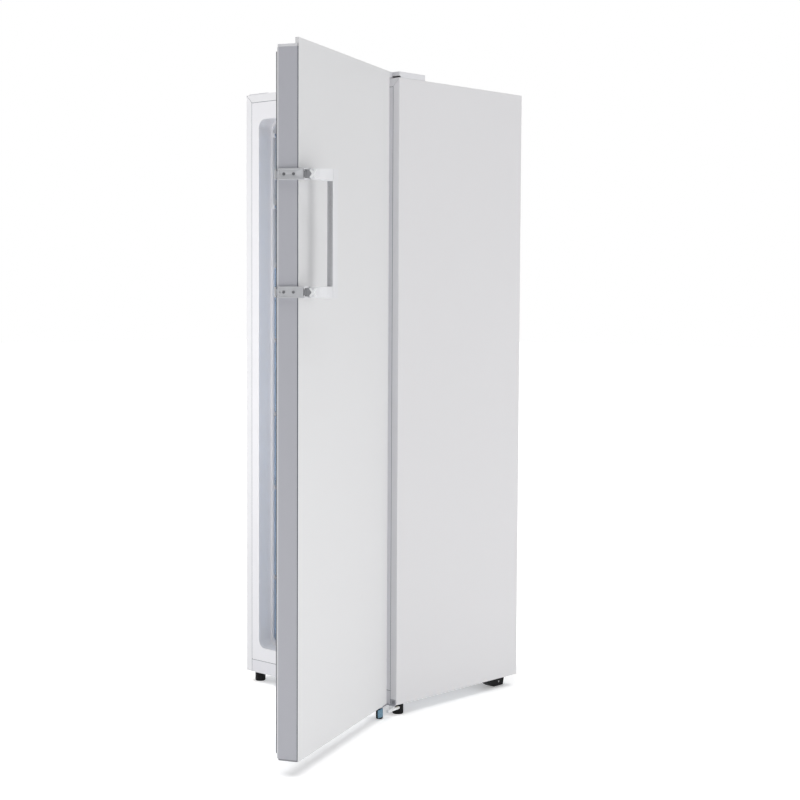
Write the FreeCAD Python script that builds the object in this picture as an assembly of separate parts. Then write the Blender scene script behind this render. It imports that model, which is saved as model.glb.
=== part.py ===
import FreeCAD, Part
import math
import os

from FreeCAD import Vector

# One tall cabinet of a side by side refrigerator pair, in millimetres.
# The frame: +Z is up, +X is the hinge side, -Y is the front. The origin is on the floor,
# on the door's pivot axis, at the middle of the hinge foot's underside.
# Door pieces are drawn with the door shut and then turned to the open angle.

# Cabinet body
cabinet_width = 600.0
body_height = 1671.0
body_depth = 513.0
floor_gap = 31.0
sheet = 1.0
seam = 0.3
frame_gap = 1.2
flange_width = 22.0
rear_recess = 20.0
rail_height = 37.0
pivot_from_side = 20.0

# Inner liner
liner_wall = 2.0
opening_side = 53.0
opening_top = 72.0
opening_bottom = 75.0
opening_radius = 25.0
collar_depth = 48.0
collar_step = 6.0
back_foam = 45.0
rib_depth = 8.0
rib_height = 7.0

# Machine niche at the bottom of the back
niche_depth = 170.0
niche_height = 200.0
niche_foam = 40.0
base_sheet = 1.5

# Plates, drawers and flaps; the compartments above the lowest one share the height in these parts
first_plate_above_niche = 35.0
compartment_parts = [264.0, 215.0, 215.0, 214.0, 181.0, 229.0]
drawer_count = 5
plate_thickness = 4.0
side_gap = 1.5
trim_height = 9.0
trim_depth = 6.0
front_behind_collar = 6.0
drawer_front = 3.0
drawer_wall = 2.0
drawer_gap = 0.8
lowest_tub_inset = 24.0
drawer_clear_above = 7.0
drawer_travel = 280.0
flap_thickness = 3.0
flap_pin_radius = 3.0
flap_lug = 5.0
flap_pin_drop = 10.0

# Controls and lamp on the cabinet's front frame
panel_width = 240.0
panel_height = 28.0
panel_proud = 3.5
button_width = 16.0
button_height = 9.0
button_proud = 1.5

# Door
door_open_angle = 112.9
door_narrower = 6.0
door_face_from_pivot = 15.0
door_edge_from_pivot = 15.0
door_lift = 7.0
panel_rise = 13.5
rim_height = 14.0
rim_depth = 9.3
thin_rim_depth = 3.5
thin_rim_length = 85.0
panel_return = 1.5
edge_groove = 2.0
door_body_depth = 51.0
seal_space = 9.0
edge_profile = 1.5
top_cap_height = 6.5
bottom_cap_height = 4.0
cap_overhang = 2.0
door_liner_sheet = 1.5
gasket_width = 18.0
gasket_clearance = 0.5
gasket_inset_free = 6.0
pusher_tip_in = 5.4
pusher_tip_depth = 4.2
gasket_inset_hinge = 17.0
seal_seat_depth = 3.5
gasket_top_inset = 16.0
gasket_bottom_inset = 15.0
relief_depth = 7.0
relief_from_edge = 63.0

# Hinges
pin_radius = 4.0
pin_length = 22.0
running_clearance = 0.05
bush_radius = 6.0
bracket_sheet = 3.0
bracket_end_radius = 7.5
hinge_cover_height = 15.0
hinge_cover_length = 102.0
hinge_cover_width = 92.0
cover_slot = 4.0
hinge_foot_radius = 9.5
screw_radius = 2.3
screw_hole_radius = 2.6
screw_head_radius = 4.4
screw_head_height = 2.4

# Feet and rollers
foot_radius = 15.0
foot_from_side = 24.0
foot_from_front = 32.0
foot_stud_radius = 5.0
roller_radius = 15.0
roller_width = 16.0
roller_from_side = 36.0
roller_from_back = 55.0
axle_radius = 3.0

# Handle
bracket_length = 64.0
bracket_height = 26.4
bracket_proud = 7.0
upper_bracket_drop = 310.0
bracket_spacing = 270.0
bracket_tip = 14.0
lever_pivot_in = 6.0
lever_pivot_out = 20.0
lever_pin_radius = 2.5
arm_height = 28.0
arm_root_height = 23.0
grip_out = 65.0
grip_thickness = 16.0
grip_in = 50.0
grip_width = 30.0
fit_gap = 0.3
link_end_radius = 8.0
link_reach = 31.0
strip_radius = 10.0
strip_crown = 3.0

# Places worked out from the sizes above
x_right = pivot_from_side
x_left = x_right - cabinet_width
x_mid = (x_left + x_right) / 2
wall_left = x_left + opening_side + collar_step
wall_right = x_right - opening_side - collar_step
y_front = door_body_depth - door_face_from_pivot + seal_space
y_back = y_front + body_depth
z_base = floor_gap
z_top = z_base + body_height
y_rear_panel = y_back - rear_recess
y_niche = y_back - niche_depth
z_niche = z_base + niche_height
z_floor = z_base + opening_bottom + collar_step
z_ceiling = z_top - opening_top - collar_step
y_cavity_back = y_rear_panel - sheet - back_foam - liner_wall
y_collar = y_front + collar_depth
y_fronts = y_collar + front_behind_collar

door_right = door_edge_from_pivot
door_left = door_right - (cabinet_width - door_narrower)
door_face = -door_face_from_pivot
door_back = door_face + door_body_depth
z_door = z_base + door_lift
z_panel_top = z_top + panel_rise
z_door_body = z_panel_top - rim_height
x_door_mid = (door_left + door_right) / 2
gasket_left = door_left + gasket_inset_free
gasket_right = door_right - gasket_inset_hinge
bracket_levels = [z_panel_top - upper_bracket_drop, z_panel_top - upper_bracket_drop - bracket_spacing]

pieces = {}


def box(x0, x1, y0, y1, z0, z1):
    return Part.makeBox(x1 - x0, y1 - y0, z1 - z0, Vector(x0, y0, z0))


def rod(x, y, z, radius, length, direction=(0, 0, 1)):
    return Part.makeCylinder(radius, length, Vector(x, y, z), Vector(*direction))


def fuse(shapes):
    first = shapes[0]
    return first.multiFuse(shapes[1:]) if len(shapes) > 1 else first


def cut(shape, tools):
    return shape.cut(fuse(tools)) if tools else shape


def outline(points, height, z0=0.0):
    wire = Part.makePolygon([Vector(x, y, z0) for x, y in points + points[:1]])
    return Part.Face(wire).extrude(Vector(0, 0, height))


def side_outline(points, x0, x1):
    """A shape drawn in the Y-Z plane and extruded along X."""
    wire = Part.makePolygon([Vector(x0, y, z) for y, z in points + points[:1]])
    return Part.Face(wire).extrude(Vector(x1 - x0, 0, 0))


def front_outline(points, y0, y1):
    """A shape drawn in the X-Z plane and extruded along Y."""
    wire = Part.makePolygon([Vector(x, y0, z) for x, z in points + points[:1]])
    return Part.Face(wire).extrude(Vector(0, y1 - y0, 0))


def edges_along(shape, axis):
    """The straight edges that run along one axis: 0, 1 or 2."""
    found = []
    for edge in shape.Edges:
        if edge.Curve.TypeId == "Part::GeomLine":
            way = edge.tangentAt(edge.FirstParameter)
            if abs((way.x, way.y, way.z)[axis]) > 0.999:
                found.append(edge)
    return found


def round_edges(shape, radius):
    """The full-circle edges of a given radius."""
    return [edge for edge in shape.Edges if abs(edge.Length - 2 * math.pi * radius) < 0.5]


def rounded(shape, axis, radius):
    return shape.makeFillet(radius, edges_along(shape, axis))


def mirrored(shape, x_plane):
    return shape.mirror(Vector(x_plane, 0, 0), Vector(1, 0, 0))


def turned_open(shape):
    return shape.rotated(Vector(0, 0, 0), Vector(0, 0, 1), door_open_angle)


def keep(name, shapes, on_door=False):
    """Store a node, cleaned and, for a door piece, turned to the open angle."""
    solids = [solid for shape in shapes for solid in shape.removeSplitter().Solids]
    placed = [turned_open(solid) for solid in solids] if on_door else solids
    pieces[name] = placed[0] if len(placed) == 1 else Part.makeCompound(placed)


# Cabinet


def side_panel(side):
    """The hinge side's sheet: outer wall, front flange with a mitred top, rear return."""
    wall = box(x_right - sheet, x_right, y_front, y_back, z_base, z_top)
    flange = front_outline(
        [
            (x_right, z_base),
            (x_right, z_top),
            (x_right - flange_width, z_top - flange_width),
            (x_right - flange_width, z_base),
        ],
        y_front,
        y_front + sheet,
    )
    rear = box(x_right - 2 * flange_width / 3, x_right, y_back - sheet, y_back, z_niche, z_top)
    panel = fuse([wall, flange, rear])
    tick = box(
        x_right - 6 * sheet, x_right - 4.5 * sheet, y_front - 1, y_front + 2 * sheet, z_base - 1, z_base + 6
    )
    return cut(panel, [tick]) if side == "right" else mirrored(cut(panel, [tick]), x_mid)


def hinge_screw_places():
    """Where the two hinge brackets are screwed to the cabinet, as x and y."""
    top = [(-54.0, y_front + 20), (-22.0, y_front + 40), (-54.0, y_front + 62)]
    bottom = [(-30.0, y_front + 30), (-30.0, y_front + 66), (-46.0, y_front + 48)]
    return top, bottom


def flange_screw_place():
    return x_right - 8.0, z_base + 7.6


def shaft_cuts(places, z0, z1, radius):
    return [rod(x, y, z0, radius, z1 - z0) for x, y in places]


def top_panel():
    inner_left = x_left + sheet + seam
    inner_right = x_right - sheet - seam
    plate = box(inner_left, inner_right, y_front, y_back - 2 * sheet, z_top - sheet, z_top)
    flange = front_outline(
        [
            (inner_left, z_top),
            (inner_right, z_top),
            (inner_right, z_top - sheet - seam * 0.5),
            (x_right - flange_width - frame_gap, z_top - flange_width),
            (x_left + flange_width + frame_gap, z_top - flange_width),
            (inner_left, z_top - sheet - seam * 0.5),
        ],
        y_front,
        y_front + sheet,
    )
    mitre_gap = frame_gap * 0.75
    corners = [
        (x_right + mitre_gap, z_top),
        (x_right - mitre_gap, z_top),
        (x_right - flange_width - mitre_gap, z_top - flange_width),
        (x_right - flange_width, z_top - flange_width - mitre_gap),
    ]
    flange = cut(
        flange,
        [
            front_outline(corners, y_front - 1, y_front + sheet),
            mirrored(front_outline(corners, y_front - 1, y_front + sheet), x_mid),
        ],
    )
    flange = max(flange.Solids, key=lambda solid: solid.Volume)
    top_screws = hinge_screw_places()[0]
    return cut(fuse([plate, flange]), shaft_cuts(top_screws, z_top - 5, z_top + 5, screw_hole_radius))


def rear_panel():
    return box(
        x_left + sheet + seam,
        x_right - sheet - seam,
        y_rear_panel - sheet,
        y_rear_panel,
        z_niche + base_sheet + seam,
        z_top - sheet - seam,
    )


def foot_places():
    """The two front feet: middle x and y of each."""
    y = y_front + foot_from_front
    return (x_left + foot_from_side, y), (x_right - foot_from_side, y)


def base_plate():
    """One bent sheet: floor, step up in front of the machine niche, and the niche's ceiling."""
    left = x_left + sheet + seam
    right = x_right - sheet - seam
    floor = box(left, right, y_front + 24, y_back - 3, z_base, z_base + base_sheet)
    step = box(left, right, y_niche, y_niche + base_sheet, z_base, z_niche)
    ceiling = box(left, right, y_niche, y_back - 3, z_niche - base_sheet, z_niche)
    studs = shaft_cuts(foot_places(), z_base - 1, z_base + 5, foot_stud_radius + 0.5)
    screws = shaft_cuts(hinge_screw_places()[1], z_base - 1, z_base + 5, screw_hole_radius)
    slots = []
    for side in (0, 1):
        for n in range(6):
            x = x_mid + (80 + 24 * n) * (1 if side else -1)
            slots.append(box(x - 5, x + 5, y_niche + 60, y_niche + 130, z_base - 1, z_base + 5))
    return cut(fuse([floor, step, ceiling]), studs + screws + slots)


def front_rail():
    left = x_left + flange_width + frame_gap
    right = x_right - flange_width - frame_gap
    face = box(left, right, y_front, y_front + 1.2, z_base, z_base + rail_height - frame_gap)
    lip = box(left, right, y_front, y_front + 22, z_base, z_base + 1.2)
    corner = rod(left, y_front - 1, z_base + rail_height, 2.0, 4, (0, 1, 0))
    screws = shaft_cuts(hinge_screw_places()[1], z_base - 1, z_base + 5, screw_hole_radius)
    return cut(fuse([face, lip]), [corner] + screws)


def liner_prism(grow, inset, y0, y1):
    """The liner's cross-section grown outwards and extruded from y0 to y1."""
    shape = box(
        x_left + opening_side + inset - grow,
        x_right - opening_side - inset + grow,
        y0,
        y1,
        z_base + opening_bottom + inset - grow,
        z_top - opening_top - inset + grow,
    )
    return rounded(shape, 1, opening_radius + grow)


def liner_volume(grow):
    """The cavity with all walls moved outwards by grow: collar, deep part and raised rear floor."""
    collar = liner_prism(grow, 0.0, y_front - 1 + grow, y_collar + grow)
    deep = liner_prism(grow, collar_step, y_collar - 1, y_cavity_back + grow)
    raised = box(
        x_left,
        x_right,
        y_niche - niche_foam + grow,
        y_back,
        0,
        z_niche + niche_foam - grow,
    )
    return fuse([collar, cut(deep, [raised])])


def plate_levels():
    """The height of each dividing plate's underside, lowest first."""
    z = z_niche + niche_foam + first_plate_above_niche
    unit = (z_ceiling - z) / sum(compartment_parts)
    levels = [z]
    for part in compartment_parts[:-1]:
        z += part * unit
        levels.append(z)
    return levels


def rib(level, side):
    """The ledge on a side wall that a dividing plate lies on."""
    x0, x1 = (wall_left - 1, wall_left + rib_depth)
    if side == "right":
        x0, x1 = (wall_right - rib_depth, wall_right + 1)
    return box(x0, x1, y_fronts + 8, y_cavity_back + 1, level - rib_height, level - 0.1)


def flap_pivots():
    """Middle height of each flap's pins, lower flap first, on one vertical line."""
    heights = [plate_levels()[-1] - flap_pin_drop, z_ceiling - opening_radius - flap_pin_drop]
    return y_fronts + flap_thickness / 2, heights


def flap_lugs():
    """The blocks on the side walls that hold the flaps' pins."""
    y, heights = flap_pivots()
    lugs = []
    for z in heights:
        for x0, x1 in ((wall_left - 1, wall_left + flap_lug), (wall_right - flap_lug, wall_right + 1)):
            lugs.append(box(x0, x1, y - 6, y + 6, z - 6, z + 6))
    return lugs


def flap_bores():
    y, heights = flap_pivots()
    length = wall_right - wall_left - 1.0
    return [rod(wall_left + 0.5, y, z, flap_pin_radius + running_clearance, length, (1, 0, 0)) for z in heights]


def inner_liner():
    frame = box(
        x_left + flange_width + frame_gap,
        x_right - flange_width - frame_gap,
        y_front,
        y_front + liner_wall,
        z_base + rail_height,
        z_top - flange_width - frame_gap,
    )
    shell = cut(fuse([frame, liner_volume(liner_wall)]), [liner_volume(0.0)])
    shell = cut(shell, [box(x_left, x_right, y_front - 5, y_front, 0, z_top)])
    ribs = [rib(level, side) for level in plate_levels() for side in ("left", "right")]
    liner = cut(fuse([shell] + ribs + flap_lugs()), flap_bores())
    corner = rod(x_left + flange_width + frame_gap, y_front - 1, z_base + rail_height, 2.0, 4, (0, 1, 0))
    return cut(liner, [corner])


def evaporator_place():
    return x_mid - 200, x_mid + 200, z_niche + niche_foam + 230, z_ceiling - 123


def serpentine(x0, x1, z0, z1, y, radius, runs):
    """A tube that runs to and fro across a panel, with half-round turns."""
    pitch = (z1 - z0) / (runs - 1)
    turn = pitch / 2
    edges = []
    for n in range(runs):
        z = z0 + pitch * n
        start, end = (x0 + turn, x1 - turn) if n % 2 == 0 else (x1 - turn, x0 + turn)
        edges.append(Part.LineSegment(Vector(start, y, z), Vector(end, y, z)).toShape())
        if n < runs - 1:
            middle = end + turn if n % 2 == 0 else end - turn
            arc = Part.Arc(Vector(end, y, z), Vector(middle, y, z + turn), Vector(end, y, z + pitch))
            edges.append(arc.toShape())
    path = Part.Wire(edges)
    ring = Part.makeCircle(radius, Vector(x0 + turn, y, z0), Vector(1, 0, 0))
    return path.makePipeShell([Part.Wire([ring])], True, False)


def evaporator():
    x0, x1, z0, z1 = evaporator_place()
    y0 = y_cavity_back + liner_wall + seam
    plate = box(x0, x1, y0, y0 + 1.5, z0, z1)
    tube = serpentine(x0 + 20, x1 - 20, z0 + 30, z1 - 30, y0 + 3.5, 3.0, 9)
    return fuse([plate, tube])


def cabinet_foam():
    block = box(
        x_left + sheet + seam,
        x_right - sheet - seam,
        y_front + liner_wall + seam,
        y_rear_panel - sheet - seam,
        z_base + base_sheet + seam,
        z_top - sheet - seam,
    )
    tools = [liner_volume(liner_wall + seam)]
    tools.append(box(x_left, x_right, y_niche - seam, y_back, 0, z_niche + seam))
    x0, x1, z0, z1 = evaporator_place()
    y0 = y_cavity_back
    tools.append(box(x0 - 1, x1 + 1, y0, y0 + liner_wall + 8, z0 - 1, z1 + 1))
    top_screws, bottom_screws = hinge_screw_places()
    tools += shaft_cuts(top_screws, z_top - 20, z_top, screw_hole_radius)
    tools += shaft_cuts(bottom_screws, 0, z_base + 20, screw_hole_radius)
    tools += shaft_cuts(foot_places(), 0, z_base + 32, foot_stud_radius + 2)
    x, z = flange_screw_place()
    tools.append(rod(x, y_front, z, screw_hole_radius, 20, (0, 1, 0)))
    return cut(block, tools)


def condenser():
    tube_radius = 2.4
    y = y_rear_panel + 10
    z0 = z_niche + 40
    z1 = z_top - 60
    tube = serpentine(x_left + 40, x_right - 40, z0, z1, y, tube_radius, 19)
    blocks = []
    for x in (x_left + 90, x_mid, x_right - 90):
        for n in (1, 9, 17):
            z = z0 + (z1 - z0) / 18 * n
            block = box(x - 8, x + 8, y_rear_panel, y + 4, z - 7, z + 7)
            blocks.append(cut(block, [rod(x - 10, y, z, tube_radius + 0.1, 20, (1, 0, 0))]))
    return [tube] + blocks


compressor_x = -180.0


def compressor():
    """A hermetic can with a welded seam, standing on its foot plate, with a terminal box."""
    y = y_niche + 82
    bottom = z_base + base_sheet + 13
    radius = 66.0
    can = rod(compressor_x, y, bottom, radius, 140)
    low, high = sorted(round_edges(can, radius), key=lambda e: e.BoundBox.ZMax)
    can = can.makeFillet(34.0, [high])
    can = can.makeFillet(9.0, [min(round_edges(can, radius), key=lambda e: e.BoundBox.ZMax)])
    plate = box(compressor_x - 95, compressor_x + 95, y - 55, y + 55, bottom - 3, bottom)
    seam_band = rod(compressor_x, y, bottom + 66, radius + 2.5, 6)
    x0 = compressor_x - radius - 16
    terminal = box(x0, x0 + 28, y - 24, y + 24, bottom + 34, bottom + 92)
    return fuse([can, plate, seam_band, terminal])


def compressor_mounts():
    mounts = []
    bottom = z_base + base_sheet
    for dx in (-82, 82):
        for dy in (-43, 43):
            mounts.append(rod(compressor_x + dx, y_niche + 82 + dy, bottom, 9.0, 10.0))
    return mounts


def drip_tray():
    top = z_base + base_sheet + 13 + 140
    x0, x1 = compressor_x - 75, compressor_x + 75
    y0, y1 = y_niche + 22, y_niche + 142
    tray = box(x0, x1, y0, y1, top, top + 24)
    return cut(tray, [box(x0 + 2, x1 - 2, y0 + 2, y1 - 2, top + 2, top + 30)])


def filter_dryer():
    y = y_niche + base_sheet + 14
    x0 = x_left + 120
    z = z_base + 140
    body = rod(x0, y, z, 10.0, 100.0, (1, 0, 0))
    necks = rod(x0 - 22, y, z, 3.0, 144.0, (1, 0, 0))
    clip = box(x0 + 40, x0 + 60, y_niche + base_sheet, y, z - 12, z + 12)
    return fuse([body, necks, clip])


def power_inlet():
    """A three-pin appliance inlet that faces the back, on a stand in the machine niche."""
    x0 = x_right - 90
    y1 = y_back - 6
    bottom = z_base + base_sheet
    block = box(x0, x0 + 46, y1 - 34, y1, bottom, bottom + 66)
    socket = rounded(box(x0 + 9, x0 + 37, y1 - 18, y1 + 1, bottom + 34, bottom + 56), 1, 4)
    pins = []
    for dx, dz in ((14, 42), (23, 49), (32, 42)):
        pins.append(box(x0 + dx - 1, x0 + dx + 1, y1 - 20, y1 - 3, bottom + dz - 2, bottom + dz + 2))
    return fuse([cut(block, [socket])] + pins)


def foot(place, radius, top, stud_radius, stud_top):
    x, y = place
    disc = rod(x, y, 0, radius, top)
    disc = disc.makeChamfer(1.8, [min(disc.Edges, key=lambda e: e.BoundBox.ZMax)])
    return fuse([disc, rod(x, y, top - 1, stud_radius, stud_top - top + 1)])


def roller_place(side):
    x = x_right - roller_from_side if side == "right" else x_left + roller_from_side
    return x, y_back - roller_from_back, roller_radius


def roller_housing(side):
    x, y, z = roller_place(side)
    half = roller_width / 2 + 8
    profile = [
        (y - 72, z_base - 0.01),
        (y - 22, 3.0),
        (y + 19, 3.0),
        (y + 25, z_base - 0.01),
    ]
    body = side_outline(profile, x - half, x + half)
    gap = roller_width / 2 + 1.5
    slot = box(x - gap, x + gap, y - roller_radius - 4, y + roller_radius + 2.5, -1, z_base + 1)
    hole = rod(x - half - 1, y, z, axle_radius, 2 * half + 2, (1, 0, 0))
    return cut(body, [slot, hole])


def roller_axle(side):
    x, y, z = roller_place(side)
    half = roller_width / 2 + 7.5
    return rod(x - half, y, z, axle_radius, 2 * half, (1, 0, 0))


def roller(side):
    x, y, z = roller_place(side)
    half = roller_width / 2
    wheel = rod(x - half, y, z, roller_radius, roller_width, (1, 0, 0))
    wheel = wheel.makeFillet(1.5, round_edges(wheel, roller_radius))
    bore = rod(x - half - 1, y, z, axle_radius + running_clearance, roller_width + 2, (1, 0, 0))
    hub_cuts = []
    for end in (-1, 1):
        start = x + end * half - (3 if end > 0 else 0)
        ring = cut(rod(start, y, z, 11.0, 3, (1, 0, 0)), [rod(start, y, z, 6.0, 3, (1, 0, 0))])
        hub_cuts.append(ring)
    return cut(wheel, [bore] + hub_cuts)


# Hinges


def arm_plate(end, far, z0, thickness):
    """A flat arm from the pivot's round end to a rectangle on the cabinet."""
    x0, x1, y0, y1 = far
    angle = math.atan2((y0 + 5) - 0, (x0 + x1) / 2)
    nx, ny = -math.sin(angle) * end, math.cos(angle) * end
    sides = [(nx, ny), (-nx, -ny), (x1, y0), (x1, y1), (x0, y1), (x0, y0)]
    return fuse([rod(0, 0, z0, end, thickness), outline(sides, thickness, z0)])


def top_bracket_pad():
    return x_right - 86, x_right - 30, y_front + 6, y_front + 74


def grown_pad(grow):
    x0, x1, y0, y1 = top_bracket_pad()
    return x0 - grow, x1 + grow, y0, y1


def top_hinge_bracket():
    plate = arm_plate(bracket_end_radius, top_bracket_pad(), z_top, bracket_sheet)
    plate = cut(plate, shaft_cuts(hinge_screw_places()[0], z_top - 1, z_top + 5, screw_hole_radius))
    return fuse([plate, rod(0, 0, z_top - pin_length, pin_radius, pin_length + 1)])


def top_hinge_cover():
    z0 = z_top + seam
    z1 = z_top + hinge_cover_height + seam
    x0, x1 = x_right - hinge_cover_width, x_right
    y1 = y_front + hinge_cover_length
    main = rounded(box(x0, x1, y_front, y1, z0, z1), 2, 3.0)
    pad = top_bracket_pad()
    front_only = box(x0 - 50, x1 + 50, -50, y_front + 4, z0, z1)
    nose = arm_plate(bracket_end_radius + 1.2, grown_pad(1.2), z0, z1 - z0).common(front_only)
    shell = fuse([main, nose])
    wall = 1.6
    hollow_main = box(x0 + wall, x1 - wall, y_front + wall, y1 - wall, z0 - 1, z1 - wall)
    hollow_nose = arm_plate(bracket_end_radius + seam, grown_pad(seam), z0 - 1, bracket_sheet + 1.5)
    slot = box(x1 - 26, x1 + 5, y_front - 1, y_front + 5, z0 - 1, z0 + cover_slot)
    return cut(shell, [hollow_main, hollow_nose, slot])


def bottom_hinge_bracket():
    z0 = z_base - bracket_sheet
    pad = (x_right - 76, x_right - 34, y_front + 4, y_front + 76)
    plate = arm_plate(bracket_end_radius, pad, z0, bracket_sheet)
    lip = box(x_right - 20, x_right - 2, y_front - 2, y_front, z0, z_base + 14)
    tie = box(x_right - 60, x_right - 2, y_front - 6, y_front, z0, z_base)
    x, z = flange_screw_place()
    plate = fuse([plate, lip, tie, rod(0, 0, z0, pin_radius, bracket_sheet + door_lift + pin_length - 3)])
    holes = shaft_cuts(hinge_screw_places()[1], z0 - 1, z_base + 1, screw_hole_radius)
    holes.append(rod(x, y_front - 5, z, screw_hole_radius, 10, (0, 1, 0)))
    return cut(plate, holes)


def hinge_screws():
    top, bottom = hinge_screw_places()
    screws = []
    for x, y in top:
        z = z_top + bracket_sheet
        screws.append(fuse([rod(x, y, z, screw_head_radius, screw_head_height), rod(x, y, z - 16, screw_radius, 17)]))
    for x, y in bottom:
        z = z_base - bracket_sheet
        head = rod(x, y, z - screw_head_height, screw_head_radius, screw_head_height)
        screws.append(fuse([head, rod(x, y, z - 1, screw_radius, 17)]))
    x, z = flange_screw_place()
    head = rod(x, y_front - 2 - screw_head_height, z, screw_head_radius, screw_head_height, (0, 1, 0))
    screws.append(fuse([head, rod(x, y_front - 3, z, screw_radius, 13, (0, 1, 0))]))
    return screws


def side_panel_with_screw_hole():
    x, z = flange_screw_place()
    return cut(side_panel("right"), [rod(x, y_front - 1, z, screw_hole_radius, 5, (0, 1, 0))])


def blank_cover():
    plate = box(x_left + 4, x_left + 81, y_front + 5, y_front + 45, z_top, z_top + 3)
    return rounded(plate, 2, 4.0)


def stop_rod():
    """The white ribbed rod that hangs under the hinge bracket."""
    z = 20.0
    start = Vector(18.5, 12.0, z)
    way = Vector(-0.157, 0.988, 0)
    length = 54.0
    body = Part.makeCylinder(3.6, length, start, way)
    rings = [body]
    for n in range(7):
        at = start + way * (6 + 6.5 * n)
        rings.append(Part.makeCylinder(4.2, 3.0, at, way))
    clip = box(-1.0, 16.0, y_front - 6, y_front - 2, z - 3.0, z_base - bracket_sheet)
    return fuse(rings + [clip])


# Inside the cabinet


def dividing_plates():
    y0 = y_fronts + trim_depth
    return [
        box(wall_left + side_gap, wall_right - side_gap, y0, y_cavity_back - 4, z, z + plate_thickness)
        for z in plate_levels()
    ]


def plate_trims():
    """The white edging along each dividing plate's front."""
    trims = []
    for z in plate_levels():
        top = z + plate_thickness + seam
        bar = box(
            wall_left + flap_lug + 1,
            wall_right - flap_lug - 1,
            y_fronts + flap_thickness + 1,
            y_fronts + trim_depth,
            top - trim_height,
            top,
        )
        lip = box(
            wall_left + rib_depth + 2,
            wall_right - rib_depth - 2,
            y_fronts + trim_depth - 0.5,
            y_fronts + 2 * trim_depth,
            z - 2,
            z,
        )
        trims.append(fuse([bar, lip]))
    return trims


def drawer(n):
    """A tub with a wider clear front and a grip along the front's top edge."""
    floors = [z_floor] + [z + plate_thickness for z in plate_levels()]
    z0 = floors[n] + drawer_gap
    z1 = plate_levels()[n] - drawer_clear_above
    x0, x1 = wall_left + side_gap, wall_right - side_gap
    y0 = y_fronts
    y1 = y_niche - niche_foam - 8 if n == 0 else y_cavity_back - 12
    front = rounded(box(x0, x1, y0, y0 + drawer_front, z0, z1 + 4), 1, 9.0)
    inset = rib_depth + 2
    if n == 0:
        front = front.common(liner_prism(-drawer_gap, collar_step, y0, y0 + drawer_front))
        inset = lowest_tub_inset
    tub_x0, tub_x1 = x0 + inset, x1 - inset
    tub = rounded(box(tub_x0, tub_x1, y0, y1, z0, z1 - 22), 2, 6.0)
    tub = fuse([tub, box(tub_x0, tub_x1, y0, y0 + 10, z0, z1 - 22)])
    inside = box(
        tub_x0 + drawer_wall,
        tub_x1 - drawer_wall,
        y0 + drawer_front,
        y1 - drawer_wall,
        z0 + drawer_wall,
        z1,
    )
    rim = box(tub_x0 - 5, tub_x0 + 1, y0 + 1, y1 - 10, z1 - 24, z1 - 22)
    rims = [rim, mirrored(rim, x_mid)]
    middle = (x0 + x1) / 2
    grip = box(middle - 75, middle + 75, y0 - 15, y0 + 1, z1 - 14, z1 - 11)
    grip_edge = box(middle - 75, middle + 75, y0 - 15, y0 - 12, z1 - 24, z1 - 11)
    return fuse([cut(tub, [inside]), front, grip, grip_edge] + rims)


def flap(n):
    """A clear flap that swings up on two pins, with a grip along its lower edge."""
    y, pivots = flap_pivots()
    z_pin = pivots[n]
    z_low = plate_levels()[drawer_count - 1 + n] + plate_thickness + 5
    x0 = wall_left + flap_lug + 1
    x1 = wall_right - flap_lug - 1
    half = flap_thickness / 2
    panel = rounded(box(x0, x1, y - half, y + half, z_low, z_pin + 4), 1, 4.0)
    barrel = rod(x0, y, z_pin, 4.5, x1 - x0, (1, 0, 0))
    pins = rod(wall_left + 1.5, y, z_pin, flap_pin_radius, wall_right - wall_left - 3, (1, 0, 0))
    grip = box(x_mid - 75, x_mid + 75, y - 14, y, z_low + 8, z_low + 11)
    return fuse([panel, barrel, pins, grip])


def panel_place():
    """The control panel's box, on the frame above the opening."""
    z0 = z_top - opening_top + 5
    return x_mid - panel_width / 2, x_mid + panel_width / 2, y_front - panel_proud, z0, z0 + panel_height


def button_box(n, gap):
    x0, x1, y0, z0, z1 = panel_place()
    x = x_mid + 30.0 + 30.0 * n
    z = (z0 + z1) / 2
    half_w = button_width / 2 + gap
    half_h = button_height / 2 + gap
    return x - half_w, x + half_w, z - half_h, z + half_h


def control_panel():
    x0, x1, y0, z0, z1 = panel_place()
    body = rounded(box(x0, x1, y0, y_front, z0, z1), 1, 5.0)
    pockets = []
    for n in (0, 1):
        bx0, bx1, bz0, bz1 = button_box(n, seam)
        pockets.append(box(bx0, bx1, y0 - 1, y_front - 0.5, bz0, bz1))
    return cut(body, pockets)


def button(n):
    y0 = panel_place()[2]
    x0, x1, z0, z1 = button_box(n, 0.0)
    return rounded(box(x0, x1, y0 - button_proud, y0 + 1.5, z0, z1), 1, 1.5)


def lamp_lens():
    top = z_top - opening_top
    lens = box(x_mid - 60, x_mid + 60, y_front + 14, y_front + 38, top - 4, top)
    return rounded(lens, 2, 6.0)


def fan_place():
    """The fan sits midway between the uppermost plate and the ceiling."""
    return x_mid, y_cavity_back, (plate_levels()[-1] + plate_thickness + z_ceiling) / 2


def fan_cover():
    x, y, z = fan_place()
    shell = rounded(box(x - 75, x + 75, y - 30, y - seam, z - 75, z + 75), 1, 12.0)
    bore = rod(x, y - 27.5, z, 52.0, 24, (0, 1, 0))
    openings = rod(x, y - 35, z, 46.0, 12, (0, 1, 0))
    bars = [box(x - 60, x + 60, y - 36, y - 20, z - 41.5 + 10 * n, z - 38.5 + 10 * n) for n in range(9)]
    openings = cut(openings, bars)
    spindle = rod(x, y - 22, z, 2.5, 20, (0, 1, 0))
    return fuse([cut(shell, [bore] + openings.Solids), spindle])


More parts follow.
